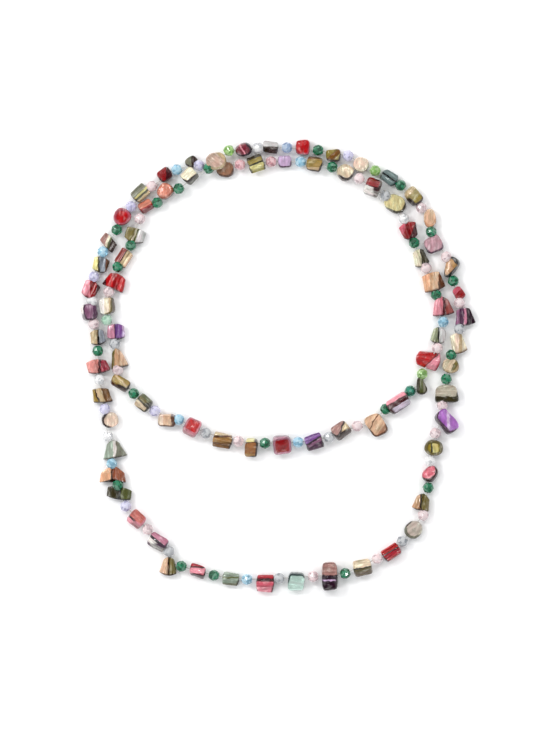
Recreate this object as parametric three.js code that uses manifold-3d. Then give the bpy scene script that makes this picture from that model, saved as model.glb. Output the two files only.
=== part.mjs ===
// Long beaded necklace: one endless strand of dyed shell chips with a faceted glass bead
// between each two, laid flat and wound twice round. Millimetres, +Z up, floor at z = 0.
import * as THREE from "three";
import { mergeVertices } from "three/addons/utils/BufferGeometryUtils.js";
import Module from "manifold-3d";

const wasm = await Module();
wasm.setup();
const { Manifold, Mesh } = wasm;

// Laying-out grid: columns count towards +X, rows towards -Y.
const SQUARE = 0.52; // side of one square of the grid
const MIDDLE_COLUMN = 277.5; // stands over x = 0
const MIDDLE_ROW = 366.5; // stands over y = 0

// Glass bead
const GLASS_ACROSS = 5.9;
const GLASS_LONG = 5.2; // along its hole
const GLASS_END = 3.0; // across the flat at each end
const GLASS_GIRDLE = 1.8; // length of the band round its middle
const GLASS_SIDES = 10; // half as many round the flats

// Tumbling takes this share off a chip's length and width.
const TUMBLED = 0.06;

// Stringing thread
const THREAD_ACROSS = 0.8;
const THREAD_SIDES = 4;
const MEET_GAP = 0.3; // where one turn's thread meets the other turn's chip
const HOLE_SHIFT = 0.3; // how far off its middle a chip may be drilled, as a share of its width

// The first chips belong to the short turn, the rest to the long one.
const SHORT_TURN_CHIPS = 35;

// Chip forms, in shares of a chip's own sizes. A "face" outline is seen from above, long by
// wide; a "bar" outline is seen from the end, wide by thick, and runs the chip's length.
// The edge is the bevel, as a share of the thickness or the width, whichever is less. Ends
// is how far the sides stop short of the full length, as a share of it.
const FORMS = {
  block: {
    seen: "face",
    edge: 0.14,
    ends: 0.1,
    points: [
      [-0.5, -0.38], [-0.36, -0.5], [0.5, -0.47],
      [0.49, 0.36], [0.36, 0.5], [-0.49, 0.46],
    ],
  },
  round: {
    seen: "face",
    edge: 0.24,
    ends: 0,
    points: [
      [-0.5, -0.18], [-0.26, -0.5], [0.2, -0.5], [0.48, -0.28],
      [0.5, 0.2], [0.24, 0.5], [-0.24, 0.48], [-0.5, 0.22],
    ],
  },
  drop: {
    seen: "face",
    edge: 0.14,
    ends: 0,
    points: [
      [-0.5, -0.18], [-0.1, -0.4], [0.3, -0.5], [0.5, -0.24],
      [0.5, 0.24], [0.28, 0.5], [-0.12, 0.38], [-0.5, 0.18],
    ],
  },
  tent: {
    seen: "bar",
    edge: 0.1,
    ends: 0.18,
    points: [
      [-0.5, -0.5], [0.04, -0.5], [0.5, -0.5], [0.5, -0.12], [0.04, 0.5], [-0.5, 0],
    ],
  },
  twin: {
    seen: "bar",
    edge: 0.1,
    ends: 0.32,
    points: [
      [-0.42, -0.5], [0.02, -0.5], [0.44, -0.5], [0.5, 0.22], [0.34, 0.5],
      [0.1, 0.42], [0.02, 0.1], [-0.1, 0.48], [-0.5, 0.3],
    ],
  },
  ribbed: {
    seen: "bar",
    edge: 0.1,
    ends: 0.14,
    points: [
      [-0.44, -0.5], [0.44, -0.5], [0.5, 0.2], [0.36, 0.44], [0.2, 0.22],
      [0.1, 0.5], [-0.16, 0.5], [-0.24, 0.26], [-0.5, 0.34],
    ],
  },
  barrel: {
    seen: "bar",
    edge: 0.16,
    ends: 0.12,
    points: [
      [-0.5, -0.2], [-0.24, -0.5], [0.26, -0.5], [0.5, -0.22],
      [0.5, 0.22], [0.22, 0.5], [-0.24, 0.5], [-0.5, 0.2],
    ],
  },
};

// Route of the thread: column and row of each glass bead, from the crossing at the upper left
// down the inner turn, round, and then down the outer turn and round to the crossing again.
const ROUTE = [
  [209, 169], [179, 189], [157.5, 203], [140, 219], [131, 245.5], [118, 267],
  [109, 292], [107, 320], [115, 344], [118, 370], [134, 393.5], [155, 411],
  [179, 419.5], [206, 433], [238.5, 441], [265, 443], [298, 442], [329, 437],
  [357, 426], [385.5, 409], [410, 391], [422, 374], [437, 348], [443, 322],
  [436, 295], [426, 268], [414, 243], [404, 219], [385, 196], [359, 179],
  [332, 167.5], [300.5, 162], [271, 162], [240, 165],
  [199, 165.6], [177, 170], [152, 186.5], [131, 206.5], [117, 230], [103, 252],
  [94, 277], [92.5, 301.5], [94, 324], [98, 351], [100, 380], [105, 409],
  [108, 436], [112, 463.5], [118, 485], [126, 506], [148, 529], [169, 551],
  [181.5, 566], [214, 575], [247, 579], [279, 578], [313, 576], [345, 573],
  [377, 558], [402, 541], [423, 515], [428, 487.5], [430, 461], [435, 433],
  [442, 405], [446, 379], [451, 355], [459, 329], [459, 303], [453, 281],
  [446, 257], [431, 232], [421, 208], [400.5, 185.5], [375, 171], [348, 156],
  [318, 150.5], [287, 149], [258, 148], [229, 151],
];

// Stringing order: chip n lies just before glass bead n. Long, wide, thick, slip (along the
// thread) and out (to the left of it) in grid squares; turn (from the thread's direction) and
// roll (left side up) in degrees; lift off the floor in millimetres. Taper narrows the front
// by this share and widens the back by as much; skew pushes the left side ahead and vee both
// sides, by this share of their distance from the middle line.
const COLUMNS = [
  "form", "long", "wide", "thick", "turn", "roll", "slip", "out", "lift", "taper", "skew", "vee",
];
const CHIPS = [
  ["round", 22, 19, 9, -32, 0, 3.5, -0.5, 3.8, 0.15, 0, 0],
  ["block", 16, 14, 10, 11, 30, 2, -4.5, 1.6, 0, 0, 0],
  ["round", 18, 16, 9, 12, 15, 0, -5, 1.2, 0.2, 0, 0],
  ["block", 16, 11, 8, -12, 30, -1, -5, 0, 0, 0, 0],
  ["twin", 16, 22, 9, 0, 0, 3, 1, 0, 0, 0, -0.1],
  ["ribbed", 19, 15, 9, -1, 0, 2, 0.5, 0, 0, 0.1, 0],
  ["ribbed", 17, 22, 10, -5, 0, 1.5, 3, 0, -0.3, 0, 0.15],
  ["block", 18, 15, 9, 9, 25, 0, -0.5, 0.4, 0.12, 0, 0],
  ["twin", 17, 19, 9, -18, 0, 1.5, 5, 0, -0.1, 0, 0],
  ["tent", 21, 15, 10, 7, 0, 2, 1.5, 0, -0.6, 0, 0.35],
  ["block", 21, 11, 9, 24, -30, -2, -5, 0, 0, 0, 0],
  ["block", 17, 12, 12, 0, 40, 0, -1, 0, 0.1, 0, 0],
  ["block", 19, 13, 9, 15, 15, 1.5, -4.5, 0, 0, 0, 0],
  ["block", 17, 18, 11, -3, -25, 0, -1, 0, -0.08, 0, 0],
  ["ribbed", 21, 16, 10, 2, 20, 1, -3, 0, 0.08, 0, 0],
  ["block", 14, 19, 10, -1, 20, 0, -5.5, 0, 0, 0, 0],
  ["block", 20, 19, 11, 3, 15, 0.5, -2, 0, 0.05, 0, 0],
  ["ribbed", 19, 14, 14, 9, -50, 0, -2, 0, -0.1, 0, 0],
  ["block", 19, 14, 11, 14, -35, -1.5, 2, 0, 0.15, 0, 0],
  ["block", 25, 19, 8, -89, 0, 0.5, -9, 0, 0.06, 0.12, 0],
  ["barrel", 25, 16, 14, -3, -30, -1.5, -2.5, 0, 0.05, 0, 0],
  ["drop", 19, 12, 9, -132, 0, 0, -6, 0, 0, 0, 0],
  ["tent", 26, 18, 12, -73, 0, 0, 2, 0, -0.35, 0, 0],
  ["twin", 18, 15, 9, 3, 0, -1, 1.5, 0, 0.15, 0, 0],
  ["twin", 21, 20, 10, -5, 0, 1, -3, 0, 0.45, 0, -0.2],
  ["ribbed", 20, 22, 10, -3, 0, -1, -1.5, 0, 0.15, 0, 0],
  ["twin", 20, 15, 9, -6, 0, -2.5, 1, 0, 0.3, 0, 0],
  ["twin", 19, 18, 10, -3, 0, 0, 0, 0, -0.3, 0, 0],
  ["round", 24, 19, 8, 25, 0, 2.5, -2.5, 0, 0.1, 0, 0],
  ["block", 17, 15, 15, 13, 45, -0.5, 0, 0, 0.1, 0, 0],
  ["round", 18, 17.5, 9, -24, 15, 0.5, 0, 0.6, 0.12, 0, 0],
  ["block", 17, 15, 10, -3, -15, 2, 0, 0, 0.05, 0, 0],
  ["block", 14.5, 13, 8, 3, 0, 1, 0, 0, 0.05, 0, 0],
  ["ribbed", 17, 15, 15, 14, -45, -0.5, 1, 0, 0.1, 0, 0],
  ["round", 19, 17, 7, -12, 0, -5.5, 4.5, 0, 0.1, 0, 0],
  ["round", 14, 12, 7, 4, 0, -4.5, -5, 0, 0.1, 0, 0],
  ["block", 15, 14, 8, -1, 0, -2, -2.5, 0, 0.08, 0, 0],
  ["ribbed", 19, 15, 9, -2, 0, -1.5, -3, 0, 0.1, 0, 0],
  ["round", 19, 18, 10, -11, 0, 0, -2, 0, 0.2, 0, 0],
  ["ribbed", 12, 19, 8, -3, 0, 2, 0, 0, -0.1, 0.2, 0],
  ["twin", 17, 17, 8, 5, 0, -0.5, 2.5, 0, 0.1, 0, 0],
  ["twin", 19, 17, 10, -21, 0, 0.5, -2.5, 0, 0.15, 0, 0],
  ["block", 18, 16, 10, 6, -20, -1, -3.5, 0, 0.1, 0, 0],
  ["twin", 17, 16, 8, 2, 0, 0, 2, 0, -0.1, 0, 0],
  ["twin", 16, 23, 9, 16, 0, 1, -1, 0, -0.1, 0.2, 0],
  ["ribbed", 16, 19, 9, 5, 0, 1, -0.5, 0, -0.2, 0.2, 0],
  ["round", 18, 16, 8, -86, -10, -2, 4, 0, 0.05, 0, 0],
  ["tent", 19, 20, 9, 2, 0, 0.5, 4, 0, -0.65, 0, 0.15],
  ["twin", 15, 27, 9, -16, 0, 0, -2, 0, -0.15, 0, 0.45],
  ["twin", 14, 27, 8, -31, 0, -3, -1.5, 0, 0, 0, 0],
  ["block", 18, 14, 11, 6, -35, 1, -1, 0, 0.05, 0, 0],
  ["block", 21, 12, 12, 16, -40, 1, -1.5, 0, 0.1, 0, 0],
  ["twin", 20, 16, 9, -45, 0, 1.5, -10, 0, -0.45, 0, 0],
  ["block", 18, 12, 8, -5, -25, 0, 0, 0, 0, -0.15, 0],
  ["ribbed", 18, 14, 8, -1, 0, 0.5, -1.5, 0, 0.04, 0, 0],
  ["ribbed", 19, 19, 10, -5, 0, 2, -4.5, 0, -0.1, 0, 0],
  ["block", 18, 19, 9, -8, 12, 0, -4, 0, 0.1, 0, 0],
  ["block", 17, 31, 13, -5, -5, 0.5, -1.5, 0, 0.08, 0, 0],
  ["block", 20, 14, 13, -13, -40, 0.5, -2, 0, 0.1, 0, 0],
  ["ribbed", 20, 14, 10, -1, -15, 0, -3, 0, 0.06, 0, 0],
  ["round", 20, 18, 9, -11, 0, -0.5, -1.5, 0, 0.18, 0, 0],
  ["twin", 18, 17, 9, -5, 0, -2, 3.5, 0, 0.3, 0, -0.2],
  ["round", 19, 14, 9, -41, -20, 0.5, -1, 0, 0.1, 0, 0],
  ["round", 17, 20, 11, 0, 0, -0.5, -1, 0, 0.1, 0, 0],
  ["block", 27, 16, 10, 54, 20, -0.5, -8, 0, 0.08, 0, 0],
  ["block", 19, 25, 10, 9, 0, -1.5, -2.5, 0, 0.2, 0, -0.12],
  ["round", 16, 18, 9, 2, 0, 1.5, -1.5, 0, 0.1, 0, 0],
  ["ribbed", 22, 15, 9, 34, 0, -0.5, -3, 0, 0.25, 0, 0],
  ["ribbed", 19, 19, 9, 10, 0, -1, -5, 0, 0.45, 0, 0],
  ["block", 14, 11, 8, 17, 0, -2, -2, 0, 0.2, 0, 0],
  ["drop", 23, 14, 9, -41, -20, 1, -1.5, 0, 0, 0, 0],
  ["block", 19, 18, 8, 84, 0, 2.5, 4.5, 0, 0.15, 0, 0],
  ["round", 20, 13, 9, -23, 0, 0, -4, 0, 0.15, 0, 0],
  ["block", 20, 14, 9, -4, 20, -1.5, -2, 0, 0.12, 0, 0],
  ["twin", 19, 14, 8, -5, 15, -1, -1, 0, 0.1, 0, 0],
  ["round", 17, 16, 8, 9, 0, 0, 1.5, 0, 0.1, 0, 0],
  ["block", 16, 13, 9, 10, 0, -0.5, 2.4, 0, 0.1, 0, 0],
  ["block", 15, 16, 9, 3, 0, 0, -1.6, 0, 0.08, 0, 0],
  ["block", 17, 11, 8, -8, 40, 2, -0.5, 0, 0.15, 0, 0],
  ["round", 18, 13, 9, 11, -20, 0, 0.5, 0, 0.15, 0, 0],
].map((row) => Object.fromEntries(COLUMNS.map((column, i) => [column, row[i]])));

const AHEAD = new THREE.Vector3(1, 0, 0);
const LEFT = new THREE.Vector3(0, 1, 0);
const UP = new THREE.Vector3(0, 0, 1);
const along = (angle) => new THREE.Vector3(Math.cos(angle), Math.sin(angle), 0);
const next = (i) => (i + 1) % CHIPS.length;
const before = (i) => (i + CHIPS.length - 1) % CHIPS.length;

// Positions only, each corner kept once, and no triangle that has closed to a line.
function welded(geometry) {
  const bare = new THREE.BufferGeometry();
  bare.setAttribute("position", geometry.getAttribute("position").clone());
  if (geometry.index) bare.setIndex(geometry.index.clone());
  const whole = mergeVertices(bare, 1e-4);
  const corners = whole.index.array;
  const kept = [];
  for (let i = 0; i < corners.length; i += 3) {
    const [a, b, c] = corners.slice(i, i + 3);
    if (a !== b && b !== c && c !== a) kept.push(a, b, c);
  }
  whole.setIndex(kept);
  return whole;
}

function solid(geometry) {
  return new Manifold(new Mesh({
    numProp: 3,
    vertProperties: new Float32Array(geometry.getAttribute("position").array),
    triVerts: new Uint32Array(geometry.index.array),
  }));
}

// Gives a chip that lies along +X, its left side at +Y, its own ends, taper, skew and vee.
function shape(geometry, chip, form, long, wide) {
  const points = geometry.getAttribute("position");
  for (let i = 0; i < points.count; i += 1) {
    const x = points.getX(i);
    const y = points.getY(i);
    const side = (2 * y) / wide;
    const swept = chip.skew * y + chip.vee * (Math.abs(y) - wide / 4);
    points.setX(i, x * (1 - form.ends * side * side) + swept);
    points.setY(i, y * (1 - (chip.taper * x) / long));
  }
}

// A chip at the origin, its length along `heading` and its left side raised by its roll.
function chipGeometry(chip, heading) {
  const form = FORMS[chip.form];
  const long = chip.long * SQUARE * (1 - TUMBLED);
  const wide = chip.wide * SQUARE * (1 - TUMBLED);
  const thick = chip.thick * SQUARE;
  const face = form.seen === "face";
  const [across, up, through] = face ? [long, wide, thick] : [wide, thick, long];
  const edge = form.edge * Math.min(thick, wide);
  const outline = new THREE.Shape(
    form.points.map(([a, b]) => new THREE.Vector2(a * across, b * up)),
  );
  const geometry = welded(new THREE.ExtrudeGeometry(outline, {
    depth: through - 2 * edge,
    bevelThickness: edge,
    bevelSize: edge,
    bevelOffset: -edge,
    bevelSegments: 1,
  }));
  geometry.translate(0, 0, edge - through / 2);
  if (!face) geometry.applyMatrix4(new THREE.Matrix4().makeBasis(LEFT, UP, AHEAD));
  shape(geometry, chip, form, long, wide);
  const length = along(heading);
  const roll = THREE.MathUtils.degToRad(chip.roll);
  const left = UP.clone().cross(length).applyAxisAngle(length, roll);
  const top = UP.clone().applyAxisAngle(length, roll);
  geometry.applyMatrix4(new THREE.Matrix4().makeBasis(length, left, top));
  return geometry;
}

// Glass bead about the origin, its hole along +Y. The ring round each flat end has half as many
// corners as the girdle, so the facets between them stand point up and point down by turns.
function glassGeometry() {
  const end = GLASS_LONG / 2;
  const girdle = GLASS_GIRDLE / 2;
  const profile = [
    [0, -end], [GLASS_END / 2, -end], [GLASS_ACROSS / 2, -girdle],
    [GLASS_ACROSS / 2, girdle], [GLASS_END / 2, end], [0, end],
  ].map(([r, y]) => new THREE.Vector2(r, y));
  const geometry = new THREE.LatheGeometry(profile, GLASS_SIDES);
  const points = geometry.getAttribute("position");
  for (let i = 0; i < points.count; i += 1) {
    const side = Math.floor(i / profile.length);
    const { x: radius, y } = profile[i % profile.length];
    const kept = Math.abs(y) === end ? side - (side % 2) : side;
    const angle = (2 * Math.PI * (kept % GLASS_SIDES)) / GLASS_SIDES;
    points.setXYZ(i, radius * Math.sin(angle), y, radius * Math.cos(angle));
  }
  return welded(geometry);
}

function between(geometry, from, to) {
  const turn = new THREE.Quaternion().setFromUnitVectors(
    new THREE.Vector3(0, 1, 0),
    to.clone().sub(from).normalize(),
  );
  geometry.applyQuaternion(turn);
  return geometry;
}

function threadSolid(from, to) {
  const radius = THREAD_ACROSS / 2;
  const length = from.distanceTo(to);
  const round = new THREE.CylinderGeometry(radius, radius, length, THREAD_SIDES);
  const geometry = between(welded(round), from, to);
  const middle = from.clone().add(to).multiplyScalar(0.5);
  geometry.translate(middle.x, middle.y, middle.z);
  return solid(geometry);
}

// Where the glass beads lie on the floor plan
const knots = ROUTE.map(([column, row]) => new THREE.Vector3(
  (column - MIDDLE_COLUMN) * SQUARE,
  (MIDDLE_ROW - row) * SQUARE,
  0,
));

// Chips: placed between their two glass beads, each let down until its lowest point rests.
const chips = CHIPS.map((chip, i) => {
  const from = knots[before(i)];
  const to = knots[i];
  const course = Math.atan2(to.y - from.y, to.x - from.x);
  const ahead = along(course);
  const left = UP.clone().cross(ahead);
  const geometry = chipGeometry(chip, course + THREE.MathUtils.degToRad(chip.turn));
  geometry.computeBoundingBox();
  const place = from.clone().add(to).multiplyScalar(0.5)
    .addScaledVector(ahead, chip.slip * SQUARE)
    .addScaledVector(left, chip.out * SQUARE);
  place.z = chip.lift - geometry.boundingBox.min.z;
  geometry.translate(place.x, place.y, place.z);
  const reach = HOLE_SHIFT * Math.min(chip.long, chip.wide) * SQUARE;
  const shift = THREE.MathUtils.clamp(-chip.out * SQUARE, -reach, reach);
  const hole = place.clone().addScaledVector(left, shift);
  return { geometry, hole, place };
});

// Glass beads: on the floor, or as high as the holes of the chips beside them.
const glass = knots.map((knot, i) => {
  const a = chips[i].hole;
  const b = chips[next(i)].hole;
  const place = knot.clone().setZ(Math.max(GLASS_ACROSS / 2, (a.z + b.z) / 2));
  const geometry = between(glassGeometry(), a.clone().setZ(0), b.clone().setZ(0));
  geometry.translate(place.x, place.y, place.z);
  return { geometry, place };
});

function turnSolid(first, last) {
  const pieces = [];
  for (let i = first; i <= last; i += 1) {
    pieces.push(solid(chips[i].geometry));
    if (i < last) pieces.push(solid(glass[i].geometry));
    if (i < last) pieces.push(threadSolid(chips[i].hole, glass[i].place));
    if (i > first) pieces.push(threadSolid(glass[before(i)].place, chips[i].hole));
  }
  return pieces;
}

// The long turn also holds the glass bead at each of its ends, whose thread stops just short
// of the short turn's chip.
function meetingThread(bead, chip) {
  const size = new THREE.Vector3();
  chip.geometry.boundingBox.getSize(size);
  const grown = chip.geometry.clone();
  grown.translate(-chip.place.x, -chip.place.y, -chip.place.z);
  grown.scale(...size.toArray().map((side) => 1 + (2 * MEET_GAP) / side));
  grown.translate(chip.place.x, chip.place.y, chip.place.z);
  return threadSolid(bead.place, chip.hole).subtract(solid(grown));
}

const lastShort = SHORT_TURN_CHIPS - 1;
const lastLong = CHIPS.length - 1;
const shortPieces = turnSolid(0, lastShort);
const longPieces = turnSolid(SHORT_TURN_CHIPS, lastLong);
for (const [end, inner, outer] of [
  [lastShort, chips[lastShort], chips[SHORT_TURN_CHIPS]],
  [lastLong, chips[0], chips[lastLong]],
]) {
  longPieces.push(solid(glass[end].geometry));
  longPieces.push(threadSolid(glass[end].place, outer.hole));
  longPieces.push(meetingThread(glass[end], inner));
}

function mesh(name, pieces, colour) {
  const joined = Manifold.union(pieces).getMesh();
  const geometry = new THREE.BufferGeometry();
  geometry.setAttribute("position", new THREE.BufferAttribute(joined.vertProperties, 3));
  geometry.setIndex(new THREE.BufferAttribute(joined.triVerts, 1));
  const material = new THREE.MeshStandardMaterial({
    color: colour,
    roughness: 0.3,
    metalness: 0,
  });
  const body = new THREE.Mesh(geometry, material);
  body.name = name;
  return body;
}

const necklace = new THREE.Group();
necklace.name = "beaded_necklace";
necklace.add(mesh("short_turn", shortPieces, 0xb07a5c));
necklace.add(mesh("long_turn", longPieces, 0x8f5f62));

export default necklace;
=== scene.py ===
import math
import random

import bmesh
import bpy
from mathutils import Matrix, Vector, noise


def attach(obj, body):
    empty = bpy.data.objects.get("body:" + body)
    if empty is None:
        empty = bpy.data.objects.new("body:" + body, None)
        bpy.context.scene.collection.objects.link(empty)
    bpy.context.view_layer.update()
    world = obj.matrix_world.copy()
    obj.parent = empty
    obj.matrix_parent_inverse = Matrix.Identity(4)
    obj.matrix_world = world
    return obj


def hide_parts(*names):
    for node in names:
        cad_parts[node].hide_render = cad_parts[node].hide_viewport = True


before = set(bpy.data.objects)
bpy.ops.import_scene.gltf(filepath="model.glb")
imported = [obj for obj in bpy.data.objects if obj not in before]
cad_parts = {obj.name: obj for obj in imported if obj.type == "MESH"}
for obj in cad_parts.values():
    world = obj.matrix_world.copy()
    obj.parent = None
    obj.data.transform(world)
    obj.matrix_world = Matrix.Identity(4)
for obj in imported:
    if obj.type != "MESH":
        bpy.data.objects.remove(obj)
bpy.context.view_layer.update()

# Long beaded necklace laid flat and wound twice round: dyed shell chips with a faceted glass
# bead between each two. Metres, +Z up, floor at z = 0.
MM = 0.001
UP = Vector((0, 0, 1))
SEED = 48

# The laying-out grid: the side of a square, the grid's width and height in squares, and the
# column and row of the origin
SQUARE = 0.52 * MM
GRID_WIDE = 550
GRID_HIGH = 733
MIDDLE_COLUMN = 277.5
MIDDLE_ROW = 366.5

# Chips on the short turn; the rest are on the long one
SHORT_TURN_CHIPS = 35

# Glass beads. The shoulder is the ring of corners between an end and the girdle, in shares
# of the bead's radius and half length. Each ring has its radius, its place along the hole
# and how far it is turned, in facets.
GLASS_ACROSS = 5.9 * MM
GLASS_LONG = 5.2 * MM
GLASS_END = 3.0 * MM
GLASS_GIRDLE = 0.36 * MM
SHOULDER_ACROSS = 0.82
SHOULDER_ALONG = 0.6
GLASS_SIDES = 10
GLASS_RINGS = (
    (GLASS_END / 2, -GLASS_LONG / 2, 0),
    (SHOULDER_ACROSS * GLASS_ACROSS / 2, -SHOULDER_ALONG * GLASS_LONG / 2, 0.5),
    (GLASS_ACROSS / 2, -GLASS_GIRDLE / 2, 0),
    (GLASS_ACROSS / 2, GLASS_GIRDLE / 2, 0),
    (SHOULDER_ACROSS * GLASS_ACROSS / 2, SHOULDER_ALONG * GLASS_LONG / 2, 0.5),
    (GLASS_END / 2, GLASS_LONG / 2, 0),
)

# Thread
THREAD_ACROSS = 0.55 * MM
THREAD_SIDES = 6

# Shell chips
TUMBLED = 0.06  # share that tumbling takes off a charted length or width
HOLE_SHIFT = 0.3  # how far the hole may lie off the middle, as a share of the shorter side
CORNER = 0.2  # size of an outline's corners, as a share of its shorter side
CORNER_MOST = 0.45  # share of a side that one corner may take
CORNER_STEPS = 3
MESH_STEP = 1.6 * MM
BEVEL_TURN = 30  # degrees between two rings of the bevel
CROWN = 0.07  # how much a flat face rises towards its middle, as a share of the thickness
CROWN_RINGS = (0.68, 0.36)
DENT = 0.3 * MM
DENT_GRAIN = 0.26 / MM  # a dent or a swelling in about 4 mm
DRAWN_IN = 0.06 * MM  # how far the whole surface of a chip is drawn in

# How rim dye, partly the shell's own colour and partly painted shade, lies on a chip's rings:
# its share on each ring of the bevel from the end in, then where the middle rings lie, as
# shares of the length, and the share on those
RINGS = {
    "face": ((0.6, 0.8, 1, 1), (0,), 1),
    "bar": ((1, 0.8, 0.6, 0.5), (-0.2, 0, 0.2), 0),
}

# The way in which a rim shows most, in degrees: the lower right, away from the key lamp, where
# the rim is painted shade; then its least share, its share halfway, and how much that grows
# towards the rim's way
SHADE_SIDE_RIM_WAY = -75
RIM_LEAST = 0.15
RIM_MIDDLE = 0.4
RIM_LEAN = 1.1

# How wide apart the random places are that dents, dyes and glass beads take their grain from
DENT_ROOM = 40
SHELL_ROOM = 200
GLASS_ROOM = 100

# Edges that turn by this much or more, in degrees, stay crisp
SHELL_CREASE = 38
GLASS_CREASE = 5
THREAD_CREASE = 60

# Chip forms: whether the outline is seen from above, as a face, or from the end, as a bar;
# the bevel, as a share of the smaller of thickness and width; how far the sides stop short
# of the length; and the outline in shares of the chip's own sizes
FORMS = {
    "block": ("face", 0.14, 0.1, [
        (-0.5, -0.38), (-0.36, -0.5), (0.5, -0.47), (0.49, 0.36), (0.36, 0.5), (-0.49, 0.46)]),
    "round": ("face", 0.24, 0, [
        (-0.5, -0.18), (-0.26, -0.5), (0.2, -0.5), (0.48, -0.28),
        (0.5, 0.2), (0.24, 0.5), (-0.24, 0.48), (-0.5, 0.22)]),
    "drop": ("face", 0.14, 0, [
        (-0.5, -0.18), (-0.1, -0.4), (0.3, -0.5), (0.5, -0.24),
        (0.5, 0.24), (0.28, 0.5), (-0.12, 0.38), (-0.5, 0.18)]),
    "tent": ("bar", 0.1, 0.18, [
        (-0.5, -0.5), (0.04, -0.5), (0.5, -0.5), (0.5, -0.12), (0.04, 0.5), (-0.5, 0)]),
    "twin": ("bar", 0.1, 0.32, [
        (-0.42, -0.5), (0.02, -0.5), (0.44, -0.5), (0.5, 0.22), (0.34, 0.5),
        (0.1, 0.42), (0.02, 0.1), (-0.1, 0.48), (-0.5, 0.3)]),
    "ribbed": ("bar", 0.1, 0.14, [
        (-0.44, -0.5), (0.44, -0.5), (0.5, 0.2), (0.36, 0.44), (0.2, 0.22),
        (0.1, 0.5), (-0.16, 0.5), (-0.24, 0.26), (-0.5, 0.34)]),
    "barrel": ("bar", 0.16, 0.12, [
        (-0.5, -0.2), (-0.24, -0.5), (0.26, -0.5), (0.5, -0.22),
        (0.5, 0.22), (0.22, 0.5), (-0.24, 0.5), (-0.5, 0.2)]),
}

# Daylight: the top of the scale that colours are written on, the curve from it to shader
# numbers, and the share of the light that dyes give back in a band, the rim and the edge;
# the rim and the edge give back less, as painted shade
FULL = 255
CURVE = 2.7
DEPTH = 0.82
RIM_PAINTED_SHADE_DEPTH = 0.72 * DEPTH
EDGE_PAINTED_SHADE_DEPTH = 0.5 * DEPTH

# The most dyes on a chip, and the cut of a band that it doesn't have
MOST_DYES = 4
PAST_THE_END = 9.0

# Dyes of the shell, as they look in daylight
DYES = {
    "scarlet": (194, 6, 28), "cherry": (160, 10, 28), "maroon": (84, 10, 28),
    "rosered": (184, 40, 62), "rose": (208, 106, 122), "pink": (238, 164, 176),
    "dustypink": (206, 150, 170), "salmonpink": (208, 122, 112), "salmon": (204, 132, 108),
    "apricot": (236, 188, 152), "peach": (232, 200, 170), "peachcream": (248, 226, 206),
    "tan": (200, 162, 126), "sand": (208, 188, 152), "beige": (226, 210, 182),
    "cream": (238, 230, 206), "ivory": (236, 230, 204), "butter": (230, 222, 156),
    "pearl": (244, 240, 234), "silver": (208, 208, 206), "gold": (180, 156, 92),
    "honey": (178, 142, 90), "amber": (166, 116, 60), "bronze": (132, 96, 46),
    "brown": (114, 76, 50), "umber": (68, 44, 32), "copper": (164, 102, 72), "brick": (160, 88, 82),
    "rosybrown": (178, 140, 132), "olive": (132, 122, 72), "moss": (104, 110, 64),
    "darkolive": (74, 68, 38), "sage": (166, 172, 142), "pewter": (142, 144, 126),
    "greige": (202, 196, 178), "taupe": (200, 192, 180), "bluegrey": (152, 160, 168),
    "greyteal": (124, 144, 142), "paleteal": (196, 222, 212), "darkteal": (34, 80, 80),
    "violet": (140, 96, 162), "lilac": (212, 188, 218), "mauve": (158, 112, 142),
    "plum": (92, 42, 84), "darkplum": (58, 18, 48), "ink": (26, 22, 20), "wine": (162, 54, 74),
    "garnet": (136, 18, 58), "nude": (214, 188, 172), "lavender": (222, 212, 226),
    "orchid": (176, 116, 196), "fadedpink": (208, 172, 180), "fawn": (188, 148, 122),
    "shellpink": (230, 164, 156), "oldgold": (160, 144, 58), "lemon": (212, 204, 140),
    "roseblush": (206, 146, 166), "greysage": (160, 174, 158), "khaki": (180, 168, 118),
    "butterbeige": (228, 218, 168),
}

# Tints of the glass
GLASS = {
    "emerald": (0, 152, 112), "teal": (0, 160, 134), "lime": (186, 222, 150),
    "mint": (216, 244, 226), "blush": (255, 240, 241), "rosy": (250, 212, 216),
    "sky": (200, 234, 248), "lavender": (238, 236, 254), "clear": (255, 255, 255),
    "smoke": (222, 224, 226), "steel": (192, 210, 232),
}

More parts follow.
